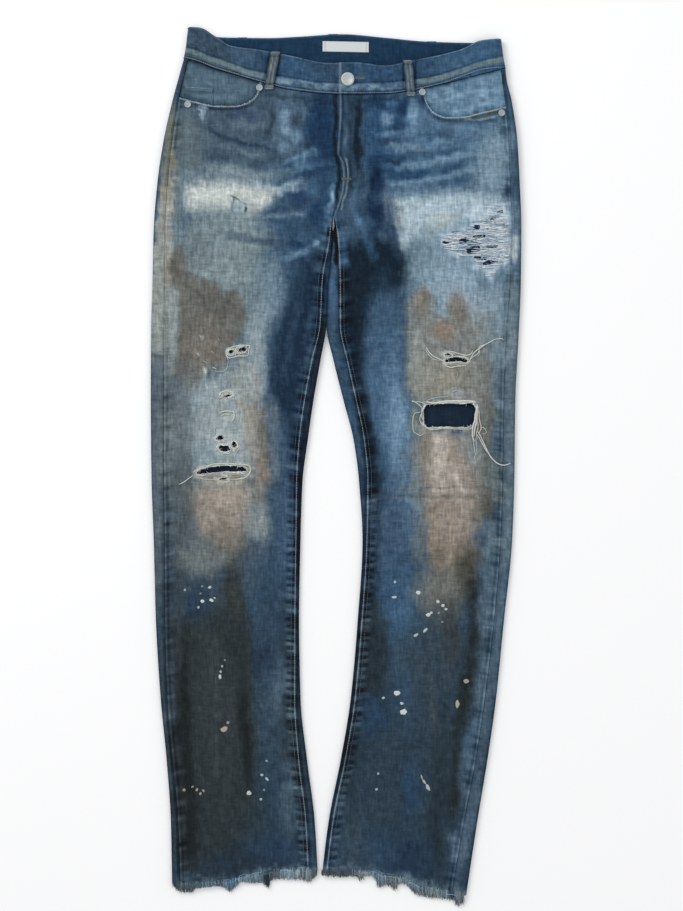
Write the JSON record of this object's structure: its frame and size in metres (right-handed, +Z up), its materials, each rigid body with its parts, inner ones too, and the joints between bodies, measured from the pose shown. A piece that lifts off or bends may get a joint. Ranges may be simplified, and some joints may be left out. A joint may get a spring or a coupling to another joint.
{
  "type": "ripped jeans, laid flat",
  "caption": "Ripped and stained blue denim jeans laid flat on their back, front up, buttoned, with worn-through holes and raw frayed hems.",
  "frame": {"origin": "centre of the footprint of the laid garment, on the surface that it rests on", "axes": "+Y up the garment from the hems to the waist, +Z up off the surface, +X to the wearer's left"},
  "size_m": [0.4822, 1.1473, 0.0167],
  "materials": {
    "denim_front": "faded, whiskered and stained indigo twill, worn white at its rips",
    "denim_back": "mid indigo twill, lighter along its seams",
    "denim_band": "two-layer stitched indigo twill, pale on its lower edge",
    "denim_pocket": "indigo twill, less worn than the fronts",
    "denim_loop": "folded and double-stitched indigo twill, worn pale on its edges",
    "woven_label": "blank white satin-woven label",
    "cotton_yarn": "loose ecru and pale blue cotton yarns",
    "button_metal": "aged silver shank button",
    "rivet_metal": "aged silver rivets"
  },
  "bodies": {
    "root": {"front_right": "denim_front", "front_left": "denim_front", "back_right": "denim_back", "back_left": "denim_back", "yoke_right": "denim_back", "yoke_left": "denim_back", "waistband": "denim_band", "pocket_facing_right": "denim_pocket", "pocket_facing_left": "denim_pocket", "coin_pocket": "denim_pocket", "back_pocket_right": "denim_pocket", "back_pocket_left": "denim_pocket", "belt_loop_front_right": "denim_loop", "belt_loop_front_left": "denim_loop", "belt_loop_back_right": "denim_loop", "belt_loop_back_centre": "denim_loop", "belt_loop_back_left": "denim_loop", "button": "button_metal", "rivet_right_inner": "rivet_metal", "rivet_right_outer": "rivet_metal", "rivet_left_inner": "rivet_metal", "rivet_left_outer": "rivet_metal", "label": "woven_label", "fringe_front_right": "cotton_yarn", "fringe_front_left": "cotton_yarn", "fringe_back_right": "cotton_yarn", "fringe_back_left": "cotton_yarn"}
  },
  "joints": []
}
